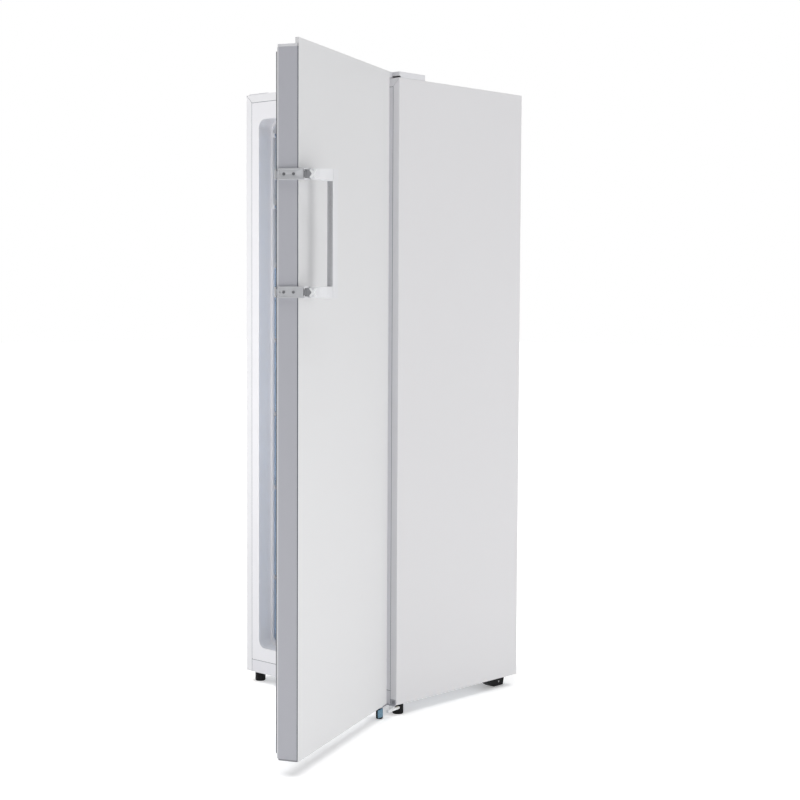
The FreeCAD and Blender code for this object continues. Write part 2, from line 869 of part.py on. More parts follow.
def fan_rotor():
    x, y, z = fan_place()
    hub = rod(x, y - 22, z, 14.0, 14, (0, 1, 0))
    blades = []
    for n in range(7):
        blade = box(x - 7, x + 7, y - 16, y - 14, z + 10, z + 46)
        blade = blade.rotated(Vector(x, y - 15, z), Vector(0, 0, 1), 24)
        blades.append(blade.rotated(Vector(x, y, z), Vector(0, 1, 0), n * 360 / 7))
    bore = rod(x, y - 23, z, 2.5 + running_clearance, 20, (0, 1, 0))
    return cut(fuse([hub] + blades), [bore])


# Door


def door_outer_panel():
    face = box(door_left, door_right, door_face, door_face + sheet, z_door, z_panel_top)
    deep = door_face + panel_return
    returns = [
        box(door_left, door_left + sheet, door_face, deep, z_door, z_panel_top),
        box(door_right - sheet, door_right, door_face, deep, z_door, z_panel_top),
        box(door_left, door_right, door_face, deep, z_door, z_door + sheet),
    ]
    x_notch = door_right - thin_rim_length
    z0 = z_door_body + seam
    rim = box(door_left, x_notch, door_face, door_face + rim_depth, z0, z_panel_top)
    thin_rim = box(x_notch, door_right, door_face, door_face + thin_rim_depth, z0, z_panel_top)
    hollow = box(
        door_left + sheet, x_notch - sheet, door_face + sheet, door_face + rim_depth - sheet, z0 + sheet, z_panel_top - sheet
    )
    panel = fuse([face, rim, thin_rim] + returns)
    return cut(panel, [hollow])


def edge_strip(side):
    """The bent sheet on a long edge of the door, drawn on the free edge."""
    y0 = door_face + panel_return + edge_groove
    z0 = z_door + bottom_cap_height + seam
    z1 = z_door_body - top_cap_height - seam
    x = door_left
    parts = [
        box(x, x + edge_profile, y0, door_back, z0, z1),
        box(x, x + 8, y0, y0 + edge_profile, z0, z1),
        box(x, x + 12, door_back - edge_profile, door_back, z0, z1),
    ]
    strip = fuse(parts)
    if side == "hinge":
        return mirrored(strip, x_door_mid)
    holes = []
    for level in bracket_levels:
        for y in handle_screw_ys():
            holes.append(rod(x - 2, y, level, 1.9 + seam, 12, (1, 0, 0)))
    return cut(strip, holes)


def door_cap(top):
    """The plastic end cap that closes the door's top or bottom edge and holds a bush."""
    y0 = door_face + panel_return + edge_groove
    if top:
        shape = box(door_left, door_right, y0, door_back + cap_overhang, z_door_body - top_cap_height, z_door_body)
    else:
        shape = box(
            door_left + sheet + seam,
            door_right - sheet - seam,
            y0,
            door_back,
            z_door,
            z_door + bottom_cap_height,
        )
    return cut(shape, [rod(0, 0, z_door - 5, bush_radius, body_height + 40)])


def door_foam():
    block = box(
        door_left + edge_profile + seam,
        door_right - edge_profile - seam,
        door_face + panel_return + edge_groove + edge_profile + seam,
        door_back - edge_profile - seam,
        z_door + bottom_cap_height + seam,
        z_door_body - top_cap_height - seam,
    )
    front = box(
        door_left + 9,
        door_right - 9,
        door_face + sheet + seam,
        door_back - edge_profile,
        z_door + bottom_cap_height + seam,
        z_door_body - top_cap_height - seam,
    )
    tools = [rod(0, 0, 0, bush_radius + seam, z_door + 40), rod(0, 0, z_top - 45, bush_radius + seam, 60)]
    for level in bracket_levels:
        for y in handle_screw_ys():
            tools.append(rod(door_left - 2, y, level, 1.9 + seam, 22, (1, 0, 0)))
    return cut(fuse([block, front]), tools)


def door_bushes():
    bore = pin_radius + running_clearance
    low_top = z_door + pin_length - 1
    low = fuse([rod(0, 0, z_base + seam, 8.5, door_lift - seam), rod(0, 0, z_base + seam, bush_radius, low_top - z_base)])
    low = cut(low, [rod(0, 0, z_base, bore, low_top - z_base)])
    high = rod(0, 0, z_top - 26, bush_radius, z_door_body - seam - z_top + 26)
    high = cut(high, [rod(0, 0, z_top - pin_length - 1, bore, pin_length + 1)])
    return [low, high]


def door_liner():
    """The door's inner sheet: a raised seat under the seal and a shallow raised field inside it."""
    z0 = z_door + bottom_cap_height + seam
    z1 = z_door_body - top_cap_height - seam
    y0 = door_back
    plate = box(door_left + 0.5, door_right - 2, y0, y0 + door_liner_sheet, z0, z1)
    seat = box(door_left + 0.5, door_right - 2, y0, y0 + seal_seat_depth, z0, z1)
    inside = box(
        gasket_left + gasket_width + 1,
        gasket_right - gasket_width - 1,
        y0 - 1,
        y0 + seal_seat_depth + 1,
        z_door + gasket_bottom_inset + gasket_width + 1,
        z_door_body - gasket_top_inset - gasket_width - 1,
    )
    seat = cut(seat, [inside])

    def field(grow):
        x_in = relief_from_edge - grow
        shape = box(
            door_left + x_in,
            door_right - x_in,
            y0 - 3,
            y0 + relief_depth + grow,
            z_base + opening_bottom + 30 - grow,
            z_top - opening_top - 30 + grow,
        )
        return rounded(shape, 1, 18.0 + grow)

    shell = cut(fuse([plate, seat, field(0.0)]), [field(-door_liner_sheet)])
    return cut(shell, [box(door_left, door_right, y0 - 10, y0, z0 - 10, z1 + 10)])


def door_gasket():
    """A magnetic seal: a flat foot on the door liner, a bellows and a flat sealing face."""
    z0 = z_door + gasket_bottom_inset
    z1 = z_door_body - gasket_top_inset
    y0 = door_back + seal_seat_depth
    y1 = y_front - gasket_clearance

    def ring(inset, width, ya, yb):
        outer = box(gasket_left + inset, gasket_right - inset, ya, yb, z0 + inset, z1 - inset)
        inner = box(
            gasket_left + inset + width,
            gasket_right - inset - width,
            ya - 1,
            yb + 1,
            z0 + inset + width,
            z1 - inset - width,
        )
        return cut(outer, [inner])

    foot_ring = ring(1.0, gasket_width - 2, y0, y0 + 1.4)
    bellows = ring(2.5, gasket_width - 5, y0 + 1.2, y1 - 2.4)
    face = ring(0.0, gasket_width, y1 - 2.6, y1)
    return fuse([foot_ring, bellows, face])


# Handle


def handle_screw_ys():
    return door_face + 10.2, door_face + 34.6


def lever_pivot():
    return door_left + lever_pivot_in, door_face - lever_pivot_out


def handle_bracket(level):
    half = bracket_height / 2
    x0 = door_left - bracket_proud
    x1 = door_left - 0.2
    y0 = door_face - bracket_tip
    y1 = y0 + bracket_length
    body = rounded(box(x0, x1, y0, y1, level - half, level + half), 0, 1.5)
    px, py = lever_pivot()
    ears = []
    for z in (level - half, level + half - 3.6):
        ear = outline([(x0, y0 + 8), (x0, y0 - 3), (px - 2, py - 6.5), (px + 4, py - 6), (px + 6.9, py), (x1 + 5, y0 - 0.5), (x1, y0 + 8)], 3.6, z)
        ears.append(fuse([ear, rod(px, py, z, 7.0, 3.6)]))
    channel = box(x0 + 2.2, x1 + 0.1, y0 - 1, y1 + 1, level - 8.3, level + 8.3)
    recess = box(x0 - 1, x0 + 0.9, y0 + 4, y1 - 4, level - half + 3.2, level + half - 3.2)
    holes = [rod(x0 - 1, door_face + 43.7, level, 1.7, 6, (1, 0, 0))]
    for y in handle_screw_ys():
        holes.append(rod(x0 - 1, y, level, 2.1, 10, (1, 0, 0)))
    pin_bore = rod(px, py, level - half - 1, lever_pin_radius, bracket_height + 2)
    return cut(fuse([cut(body, [channel])] + ears), [recess, pin_bore] + holes)


def handle_pusher(level):
    """The sliding bar in a bracket, with a bent tip that pushes the cabinet's front flange."""
    x0 = door_left - bracket_proud + 2.5
    x1 = door_left - 0.5
    y0 = door_face - bracket_tip + 0.7
    y_tip = y_front - 1.0
    bar = box(x0, x1, y0, y_tip, level - 8, level + 8)
    tip = box(
        door_left - bracket_proud - 0.5,
        door_left + pusher_tip_in,
        y_tip - pusher_tip_depth,
        y_tip,
        level - 12,
        level + 12,
    )
    slots = []
    for y in handle_screw_ys():
        slots.append(rounded(box(x0 - 1, x1 + 1, y - 5.5, y + 3.2, level - 2.6, level + 2.6), 0, 2.4))
    return cut(fuse([bar, tip]), slots)


def handle_screw(level, y):
    x0 = door_left - bracket_proud
    head = rod(x0 + 0.9 - 1.6, y, level, 3.4, 1.6, (1, 0, 0))
    cross = [
        box(x0 - 2, x0 - 0.1, y - 2.2, y + 2.2, level - 0.4, level + 0.4),
        box(x0 - 2, x0 - 0.1, y - 0.4, y + 0.4, level - 2.2, level + 2.2),
    ]
    return cut(fuse([head, rod(x0 + 0.4, y, level, 1.8, 22, (1, 0, 0))]), cross)


def handle_pin(level):
    px, py = lever_pivot()
    half = bracket_height / 2
    return rod(px, py, level - half, lever_pin_radius, bracket_height)


def arm_outline():
    """The lever arm seen from above, as distance in from the free edge and out from the face."""
    return [
        (0.5, 29.5),
        (2.0, 37.0),
        (12.0, 47.5),
        (30.0, 58.5),
        (grip_in, grip_out),
        (grip_in + grip_width, grip_out),
        (grip_in + grip_width, grip_out - grip_thickness),
        (grip_in + 6, grip_out - grip_thickness),
        (36.0, 43.5),
        (22.0, 36.0),
        (12.0, 29.5),
    ]


def lever_arm(level):
    px, py = lever_pivot()
    points = [(door_left + u, door_face - s) for u, s in arm_outline()]
    half = arm_height / 2
    root = arm_root_height / 2
    slab = outline(points, arm_height, level - half)
    far = door_left + grip_in
    taper = front_outline(
        [
            (door_left - 20, level - root),
            (door_left, level - root),
            (far, level - half),
            (far + grip_width + 5, level - half),
            (far + grip_width + 5, level + half),
            (far, level + half),
            (door_left, level + root),
            (door_left - 20, level + root),
        ],
        door_face - 100,
        door_face,
    )
    arm = cut(slab.common(taper), [rod(px, py, level - 20, link_end_radius, 40)])
    groove_y = door_face - grip_out
    groove = box(far - 0.9, far, groove_y - 1, groove_y + 1.6, level - half - 1, level + half + 1)
    return cut(arm, [groove])


def handle_link(level):
    """The metal link that turns on the pin in a bracket; the arm's root is pushed onto it."""
    px, py = lever_pivot()
    hub_half = bracket_height / 2 - 3.6 - fit_gap
    hub = rod(px, py, level - hub_half, 6.6, 2 * hub_half)
    neck = front_outline(
        [
            (px - 5.5, level - hub_half),
            (px + 6, level - hub_half),
            (px + 6, level + hub_half),
            (px - 5.5, level + hub_half),
        ],
        door_face - link_reach,
        py,
    )
    x_lug = door_left - bracket_proud + 3.5
    lug = box(x_lug, px, py + 1.0, door_face - bracket_tip + 0.2, level - 7, level + 7)
    bore = rod(px, py, level - 20, lever_pin_radius + running_clearance, 40)
    return cut(fuse([hub, neck, lug]), [bore, lever_arm(level)])


def handle_grip():
    low = bracket_levels[1] - arm_height / 2
    high = bracket_levels[0] + arm_height / 2
    x0 = door_left + grip_in
    y0 = door_face - grip_out
    bar = box(x0, x0 + grip_width, y0, y0 + grip_thickness, low, high)
    bar = rounded(bar, 2, 3.0)
    whole = fuse([bar] + [lever_arm(level) for level in bracket_levels])
    return cut(whole, [handle_insert()])


def handle_insert():
    """The metal strip let into the grip's side that faces the fingers."""
    low = bracket_levels[1] + arm_height / 2
    high = bracket_levels[0] - arm_height / 2
    x0 = door_left + grip_in
    y0 = door_face - grip_out
    middle = y0 + grip_thickness / 2
    crown = rod(x0 - strip_crown + strip_radius, middle, low, strip_radius, high - low)
    slab = box(x0 - strip_crown - 1, x0 + 2.0, y0 + 1.4, y0 + grip_thickness - 1.4, low, high)
    return crown.common(slab)


def spring_clip(level):
    """The white X-shaped clip on the root of a lever arm."""
    x = door_left + 0.3
    y = door_face - 36.0
    strips = []
    for angle in (-38, 38):
        strip = box(x - 2.4, x - 0.4, y - 2.2, y + 2.2, level - 12, level + 12)
        strips.append(strip.rotated(Vector(x, y, level), Vector(1, 0, 0), angle))
    foot_pad = box(x - 0.9, x + 4, y - 3, y + 3, level - 4, level + 4)
    return cut(fuse(strips + [foot_pad]), [lever_arm(level), handle_link(level)])


def build():
    keep("left_side_panel", [side_panel("left")])
    keep("right_side_panel", [side_panel_with_screw_hole()])
    keep("top_panel", [top_panel()])
    keep("rear_panel", [rear_panel()])
    keep("base_plate", [base_plate()])
    keep("front_rail", [front_rail()])
    keep("inner_liner", [inner_liner()])
    keep("cabinet_foam", [cabinet_foam()])
    keep("evaporator", [evaporator()])
    keep("condenser", condenser())
    keep("compressor", [compressor()])
    keep("compressor_mounts", compressor_mounts())
    keep("drip_tray", [drip_tray()])
    keep("filter_dryer", [filter_dryer()])
    keep("power_inlet", [power_inlet()])
    left_foot, right_foot = foot_places()
    keep("front_left_foot", [foot(left_foot, foot_radius, z_base - 3, foot_stud_radius, z_base + 24)])
    keep("front_right_foot", [foot(right_foot, foot_radius, z_base - 3, foot_stud_radius, z_base + 24)])
    keep("hinge_foot", [foot((0, 0), hinge_foot_radius, 22.0, pin_radius, z_base - bracket_sheet - fit_gap)])
    keep("rear_roller_housings", [roller_housing("left"), roller_housing("right")])
    keep("rear_roller_axles", [roller_axle("left"), roller_axle("right")])
    keep("rear_left_roller", [roller("left")])
    keep("rear_right_roller", [roller("right")])
    keep("top_hinge_bracket", [top_hinge_bracket()])
    keep("top_hinge_cover", [top_hinge_cover()])
    keep("bottom_hinge_bracket", [bottom_hinge_bracket()])
    keep("hinge_screws", hinge_screws())
    keep("blank_cover", [blank_cover()])
    keep("stop_rod", [stop_rod()])

    keep("dividing_plates", dividing_plates())
    keep("plate_trims", plate_trims())
    for n in range(drawer_count):
        keep(f"drawer_{n + 1}", [drawer(n)])
    keep("lower_flap", [flap(0)])
    keep("upper_flap", [flap(1)])
    keep("control_panel", [control_panel()])
    keep("power_button", [button(0)])
    keep("temperature_button", [button(1)])
    keep("lamp_lens", [lamp_lens()])
    keep("fan_cover", [fan_cover()])
    keep("fan_rotor", [fan_rotor()])

    keep("door_outer_panel", [door_outer_panel()], True)
    keep("door_free_edge", [edge_strip("free")], True)
    keep("door_hinge_edge", [edge_strip("hinge")], True)
    keep("door_top_cap", [door_cap(True)], True)
    keep("door_bottom_cap", [door_cap(False)], True)
    keep("door_foam", [door_foam()], True)
    keep("door_bushes", door_bushes(), True)
    keep("door_liner", [door_liner()], True)
    keep("door_gasket", [door_gasket()], True)

    keep("handle_brackets", [handle_bracket(level) for level in bracket_levels], True)
    screws = [handle_screw(level, y) for level in bracket_levels for y in handle_screw_ys()]
    keep("handle_screws", screws, True)
    keep("handle_pins", [handle_pin(level) for level in bracket_levels], True)
    keep("handle_grip", [handle_grip()], True)
    keep("handle_links", [handle_link(level) for level in bracket_levels], True)
    keep("handle_insert", [handle_insert()], True)
    keep("spring_clips", [spring_clip(level) for level in bracket_levels], True)
    keep("handle_pushers", [handle_pusher(level) for level in bracket_levels], True)


build()
os.makedirs("parts", exist_ok=True)
for name, shape in pieces.items():
    shape.exportStep(f"parts/{name}.step")
print(len(pieces), "nodes")
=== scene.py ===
"""Tall single-door refrigerator cabinet: its finishes, small fittings, light and camera. Metres, +Z up."""
import math

import bmesh
import bpy
from mathutils import Matrix, Vector


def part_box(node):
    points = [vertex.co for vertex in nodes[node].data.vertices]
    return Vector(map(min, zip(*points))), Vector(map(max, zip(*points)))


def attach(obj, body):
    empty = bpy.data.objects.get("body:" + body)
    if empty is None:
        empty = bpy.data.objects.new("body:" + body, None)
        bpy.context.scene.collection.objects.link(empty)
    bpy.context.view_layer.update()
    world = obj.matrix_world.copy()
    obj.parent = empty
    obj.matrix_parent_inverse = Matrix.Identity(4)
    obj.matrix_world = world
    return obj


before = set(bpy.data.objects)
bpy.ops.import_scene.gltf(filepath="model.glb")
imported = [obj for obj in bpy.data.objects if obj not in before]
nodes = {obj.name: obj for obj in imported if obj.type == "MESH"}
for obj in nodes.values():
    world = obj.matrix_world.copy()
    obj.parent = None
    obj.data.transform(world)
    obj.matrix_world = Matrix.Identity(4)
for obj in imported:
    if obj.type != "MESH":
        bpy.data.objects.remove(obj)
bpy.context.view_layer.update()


# Finishes


class Finish:
    """One material under construction: its shader and the coordinates of the piece it is on."""

    def __init__(self, name, colour, roughness, metallic=0.0):
        self.material = bpy.data.materials.new(name)
        self.material.use_nodes = True
        self.tree = self.material.node_tree
        self.shader = self.tree.nodes["Principled BSDF"]
        self.place = self.tree.nodes.new("ShaderNodeTexCoord").outputs["Object"]
        self.shader.inputs["Base Color"].default_value = (*colour, 1.0)
        self.shader.inputs["Roughness"].default_value = roughness
        self.shader.inputs["Metallic"].default_value = metallic
        self.relief = None

    def add(self, kind):
        return self.tree.nodes.new(kind)

    def join(self, output, target):
        self.tree.links.new(output, target)

    def stretched(self, stretch):
        mapping = self.add("ShaderNodeMapping")
        mapping.inputs["Scale"].default_value = stretch
        self.join(self.place, mapping.inputs["Vector"])
        return mapping.outputs["Vector"]

    def noise(self, size, detail=2.0, stretch=(1, 1, 1)):
        """Soft random values; size is the grain's rough width in metres."""
        texture = self.add("ShaderNodeTexNoise")
        texture.inputs["Scale"].default_value = 1.0 / size
        texture.inputs["Detail"].default_value = detail
        self.join(self.stretched(stretch), texture.inputs["Vector"])
        return texture.outputs["Fac"]

    def cells(self, size, stretch=(1, 1, 1)):
        texture = self.add("ShaderNodeTexVoronoi")
        texture.inputs["Scale"].default_value = 1.0 / size
        self.join(self.stretched(stretch), texture.inputs["Vector"])
        return texture

    def ramp(self, value, stops):
        node = self.add("ShaderNodeValToRGB")
        elements = node.color_ramp.elements
        while len(elements) < len(stops):
            elements.new(0.5)
        for element, (position, colour) in zip(elements, stops):
            element.position = position
            element.color = (*colour, 1.0)
        self.join(value, node.inputs["Fac"])
        return node.outputs["Color"]

    def spread(self, value, low, high, from_low=0.3, from_high=0.7):
        node = self.add("ShaderNodeMapRange")
        limits = {"From Min": from_low, "From Max": from_high, "To Min": low, "To Max": high}
        for name, number in limits.items():
            node.inputs[name].default_value = number
        self.join(value, node.inputs["Value"])
        return node.outputs["Result"]

    def colour_by(self, value, stops):
        self.join(self.ramp(value, stops), self.shader.inputs["Base Color"])
        return self

    def gloss_by(self, value, low, high):
        self.join(self.spread(value, low, high), self.shader.inputs["Roughness"])
        return self

    def raised_by(self, height, depth, strength=1.0):
        node = self.add("ShaderNodeBump")
        node.inputs["Strength"].default_value = strength
        node.inputs["Distance"].default_value = depth
        self.join(height, node.inputs["Height"])
        if self.relief:
            self.join(self.relief, node.inputs["Normal"])
        self.relief = node.outputs["Normal"]
        self.join(self.relief, self.shader.inputs["Normal"])
        return self

    def clear(self, amount, ior):
        self.shader.inputs["Transmission Weight"].default_value = amount
        self.shader.inputs["IOR"].default_value = ior
        return self

    def coated(self, weight, roughness):
        self.shader.inputs["Coat Weight"].default_value = weight
        self.shader.inputs["Coat Roughness"].default_value = roughness
        return self


def shade(colour, factor):
    return tuple(min(1.0, c * factor) for c in colour)


def enamel(name, colour, roughness=0.32):
    """Stoved enamel on sheet steel: a very even colour and fine orange peel."""
    f = Finish(name, colour, roughness)
    f.colour_by(f.noise(0.5, 1.0), [(0.3, shade(colour, 0.994)), (0.7, shade(colour, 1.004))])
    f.gloss_by(f.noise(0.003, 2.0), roughness - 0.01, roughness + 0.01)
    f.raised_by(f.noise(0.0018, 1.0), 0.000006, 0.5)
    return f.coated(0.15, 0.3).material


def moulded(name, colour, roughness=0.4, grain=0.0007, shine=0.5):
    """Moulded plastic with a fine spark-eroded texture and slight flow marks."""
    f = Finish(name, colour, roughness)
    flow = f.noise(0.03, 4.0, (1, 1, 0.25))
    f.colour_by(flow, [(0.3, shade(colour, 0.985)), (0.7, shade(colour, 1.01))])
    f.gloss_by(f.noise(0.004, 3.0), roughness - 0.02, roughness + 0.03)
    f.raised_by(f.noise(grain, 2.0), 0.00002)
    f.shader.inputs["Specular IOR Level"].default_value = shine
    return f.material


def formed_liner(name, colour):
    """Vacuum-formed sheet: an even satin gloss with long, very faint waves."""
    f = Finish(name, colour, 0.30)
    f.colour_by(f.noise(0.11, 2.0), [(0.3, shade(colour, 0.99)), (0.7, shade(colour, 1.005))])
    f.gloss_by(f.noise(0.01, 2.0), 0.28, 0.33)
    f.raised_by(f.noise(0.06, 1.0), 0.00006, 0.3)
    f.raised_by(f.noise(0.0009, 1.0), 0.00001)
    return f.material


def tinted_clear(name, colour):
    """Clear blue-tinted styrene of the drawers: thin, glossy, faintly wavy, with scuffs."""
    f = Finish(name, colour, 0.12)
    f.colour_by(f.noise(0.06, 3.0), [(0.3, shade(colour, 0.95)), (0.7, shade(colour, 1.03))])
    scuffs = f.noise(0.004, 5.0, (1, 1, 9))
    f.gloss_by(scuffs, 0.07, 0.26)
    f.raised_by(f.noise(0.012, 1.0), 0.00008, 0.5)
    return f.clear(0.72, 1.2).material


def shelf_glass(name, colour):
    f = Finish(name, colour, 0.03)
    f.colour_by(f.noise(0.2, 1.0), [(0.3, shade(colour, 0.98)), (0.7, shade(colour, 1.0))])
    f.gloss_by(f.noise(0.01, 4.0), 0.02, 0.07)
    return f.clear(0.9, 1.3).material


def galvanised(name, colour):
    """Zinc-coated sheet with its crystal spangle."""
    f = Finish(name, colour, 0.42, 0.85)
    spangle = f.cells(0.011, (1, 1, 0.7))
    f.colour_by(spangle.outputs["Color"], [(0.2, shade(colour, 0.86)), (0.8, shade(colour, 1.08))])
    f.gloss_by(f.noise(0.01, 3.0), 0.34, 0.52)
    f.raised_by(spangle.outputs["Distance"], 0.00002, 0.6)
    return f.material


def brushed(name, colour, stretch=(1, 1, 40), roughness=0.34, metallic=0.9):
    """Ground steel with fine lines along one way."""
    f = Finish(name, colour, roughness, metallic)
    lines = f.noise(0.0011, 3.0, stretch)
    f.colour_by(lines, [(0.25, shade(colour, 0.88)), (0.75, shade(colour, 1.06))])
    f.gloss_by(lines, roughness - 0.08, roughness + 0.12)
    f.raised_by(lines, 0.00002, 0.5)
    return f.material


def soft_rubber(name, colour, roughness=0.62):
    f = Finish(name, colour, roughness)
    f.colour_by(f.noise(0.012, 4.0), [(0.3, shade(colour, 0.85)), (0.7, shade(colour, 1.15))])
    f.gloss_by(f.noise(0.006, 3.0), roughness - 0.1, roughness + 0.15)
    f.raised_by(f.noise(0.0006, 2.0), 0.00004)
    return f.material


def black_lacquer(name, colour, roughness=0.35):
    """Dipped black lacquer on steel, with dust settled in patches."""
    f = Finish(name, colour, roughness)
    f.colour_by(f.noise(0.03, 5.0), [(0.35, colour), (0.75, shade(colour, 1.9))])
    f.gloss_by(f.noise(0.015, 4.0), roughness - 0.1, roughness + 0.2)
    f.raised_by(f.noise(0.0025, 2.0), 0.00005, 0.6)
    return f.material


def drawn_copper(name, colour):
    f = Finish(name, colour, 0.3, 1.0)
    f.colour_by(f.noise(0.02, 4.0), [(0.3, shade(colour, 0.7)), (0.7, shade(colour, 1.1))])
    f.gloss_by(f.noise(0.008, 3.0), 0.22, 0.48)
    f.raised_by(f.noise(0.003, 2.0), 0.00003, 0.4)
    return f.material


def foam_skin(name, colour):
    """Poured insulating foam: closed cells with a torn skin."""
    f = Finish(name, colour, 0.85)
    cells = f.cells(0.004)
    f.colour_by(f.noise(0.05, 5.0), [(0.3, shade(colour, 0.86)), (0.7, shade(colour, 1.04))])
    f.raised_by(cells.outputs["Distance"], 0.0006, 0.7)
    return f.material


def frosted_lens(name, colour):
    f = Finish(name, colour, 0.35)
    f.colour_by(f.noise(0.02, 2.0), [(0.3, shade(colour, 0.97)), (0.7, shade(colour, 1.0))])
    f.raised_by(f.noise(0.002, 1.0, (1, 6, 1)), 0.0002, 0.5)
    return f.clear(0.4, 1.3).material


def blue_film(name, colour):
    """Printed blue protective film with slight creases and patches of paler tone."""
    f = Finish(name, colour, 0.3)
    f.colour_by(f.noise(0.006, 3.0), [(0.3, shade(colour, 0.8)), (0.72, shade(colour, 1.35))])
    f.gloss_by(f.noise(0.004, 3.0), 0.2, 0.45)
    f.raised_by(f.noise(0.004, 2.0), 0.0003, 0.5)
    return f.material


finishes = {
    "body": enamel("body_enamel", (0.672, 0.668, 0.682), 0.42),
    "door": enamel("door_enamel", (0.695, 0.696, 0.705), 0.44),
    # Painted shade, in part: the door's edge sheets are light grey-white enamel; this darker, bluer grey
    # also paints the shade they stand in.
    "edge": enamel("shaded_edge_enamel", (0.445, 0.448, 0.488), 0.4),
    "rail": enamel("rail_enamel", (0.640, 0.636, 0.662), 0.4),
    "cover": moulded("white_cover", (0.68, 0.682, 0.705)),
    "liner": formed_liner("liner_sheet", (0.69, 0.685, 0.705)),
    "door_sheet": formed_liner("door_inner_sheet", (0.70, 0.705, 0.725)),
    "clear": tinted_clear("drawer_styrene", (0.62, 0.78, 0.98)),
    "glass": shelf_glass("plate_glass", (0.90, 0.97, 0.95)),
    "trim": moulded("white_trim", (0.82, 0.83, 0.84), 0.3),
    "zinc": galvanised("zinc_sheet", (0.60, 0.62, 0.65)),
    "steel": brushed("bracket_steel", (0.56, 0.567, 0.59), (1, 30, 1), 0.42, 0.30),
    "turned": brushed("turned_steel", (0.30, 0.305, 0.32), (20, 20, 1), 0.28),
    "black": moulded("black_plastic", (0.008, 0.008, 0.009), 0.6, shine=0.15),
    "plate": brushed("painted_plate", (0.38, 0.385, 0.42), (1, 30, 1), 0.5, 0.15),
    "grey": moulded("grey_plastic", (0.27, 0.275, 0.29), 0.4),
    "key": moulded("grey_keys", (0.33, 0.34, 0.36), 0.35),
    "rubber": soft_rubber("black_rubber", (0.018, 0.018, 0.019)),
    "seal": soft_rubber("seal_rubber", (0.17, 0.175, 0.19), 0.5),
    "foam": foam_skin("insulating_foam", (0.80, 0.70, 0.46)),
    "fins": brushed("cooler_sheet", (0.72, 0.73, 0.75), (40, 1, 1), 0.4),
    "wire": black_lacquer("condenser_lacquer", (0.014, 0.014, 0.016)),
    "can": black_lacquer("compressor_lacquer", (0.012, 0.012, 0.014), 0.28),
    "copper": drawn_copper("copper_pipe", (0.80, 0.42, 0.26)),
    "grip": moulded("grip_plastic", (0.70, 0.705, 0.725), 0.42, 0.0005),
    "strip": brushed("grip_strip", (0.55, 0.555, 0.58), (1, 1, 60), 0.3),
    "lens": frosted_lens("lamp_lens", (0.93, 0.94, 0.92)),
    # Painted shade: a near-black blue-grey for the strips that darken gaps and grooves; it stands for
    # shade, not for a sealant.
    "seam": soft_rubber("seam_sealant", (0.022, 0.034, 0.062), 0.7),
    "tag": blue_film("blue_film", (0.10, 0.215, 0.31)),
}

node_finish = {
    "left_side_panel": "body", "right_side_panel": "body", "top_panel": "body", "front_rail": "rail",
    "rear_panel": "zinc", "base_plate": "zinc", "inner_liner": "liner", "cabinet_foam": "foam",
    "evaporator": "fins", "condenser": "wire", "compressor": "can", "compressor_mounts": "rubber",
    "drip_tray": "black", "filter_dryer": "copper", "power_inlet": "black", "front_left_foot": "black",
    "front_right_foot": "black", "hinge_foot": "black", "rear_roller_housings": "black",
    "rear_roller_axles": "turned", "rear_left_roller": "black", "rear_right_roller": "black",
    "top_hinge_bracket": "steel", "top_hinge_cover": "cover", "bottom_hinge_bracket": "plate",
    "hinge_screws": "turned", "blank_cover": "cover", "stop_rod": "trim", "dividing_plates": "glass",
    "plate_trims": "trim", "drawer_1": "clear", "drawer_2": "clear", "drawer_3": "clear",
    "drawer_4": "clear", "drawer_5": "clear", "lower_flap": "clear", "upper_flap": "clear",
    "control_panel": "trim", "power_button": "key", "temperature_button": "key", "lamp_lens": "lens",
    "fan_cover": "trim", "fan_rotor": "grey", "door_outer_panel": "door", "door_free_edge": "edge",
    "door_hinge_edge": "edge", "door_top_cap": "cover", "door_bottom_cap": "grey", "door_foam": "foam",
    "door_bushes": "trim", "door_liner": "door_sheet", "door_gasket": "seal", "handle_brackets": "steel",
    "handle_screws": "turned", "handle_pins": "turned", "handle_grip": "grip", "handle_insert": "strip",
    # handle_links: the dark grey plastic partly paints the shade on the handle's steel necks (painted
    # shade).
    "spring_clips": "trim", "handle_pushers": "steel", "handle_links": "grey",
}


def dress_cad_nodes():
    for name, finish in node_finish.items():
        for slot in nodes[name].material_slots:
            slot.material = finishes[finish]


# Softened edges: bent and moulded pieces have no knife edges

edge_radius = {
    "left_side_panel": 0.0009, "right_side_panel": 0.0009, "top_panel": 0.0005, "front_rail": 0.0005,
    "top_hinge_cover": 0.0010, "blank_cover": 0.0008, "door_top_cap": 0.0008, "door_outer_panel": 0.0004,
    "handle_grip": 0.0014, "handle_brackets": 0.0006, "handle_pushers": 0.0006, "drip_tray": 0.0006,
    "power_inlet": 0.0006, "control_panel": 0.0007, "power_button": 0.0005, "temperature_button": 0.0005,
    "fan_cover": 0.0006, "rear_roller_housings": 0.0006, "bottom_hinge_bracket": 0.0004,
    "top_hinge_bracket": 0.0004, "handle_links": 0.0008, "compressor": 0.0006,
    "plate_trims": 0.0006, "dividing_plates": 0.0006,
}


def soften_edges():
    for name, radius in edge_radius.items():
        piece = nodes[name]
        weld = piece.modifiers.new("weld", "WELD")
        weld.merge_threshold = 0.00002
        flat = piece.modifiers.new("flat faces", "DECIMATE")
        flat.decimate_type = "DISSOLVE"
        flat.angle_limit = math.radians(0.5)
        bevel = piece.modifiers.new("soft edge", "BEVEL")
        bevel.width = radius
        bevel.segments = 2
        bevel.limit_method = "ANGLE"
        bevel.angle_limit = math.radians(50)
        bevel.use_clamp_overlap = True
        bevel.harden_normals = True


# Repeated fittings, each from its own small geometry tree


def new_tree(name, sockets):
    tree = bpy.data.node_groups.new(name, "GeometryNodeTree")
    keys = {}
    for label, kind in sockets:
        keys[label] = tree.interface.new_socket(label, in_out="INPUT", socket_type=kind).identifier
    tree.interface.new_socket("Geometry", in_out="OUTPUT", socket_type="NodeSocketGeometry")
    return tree, keys


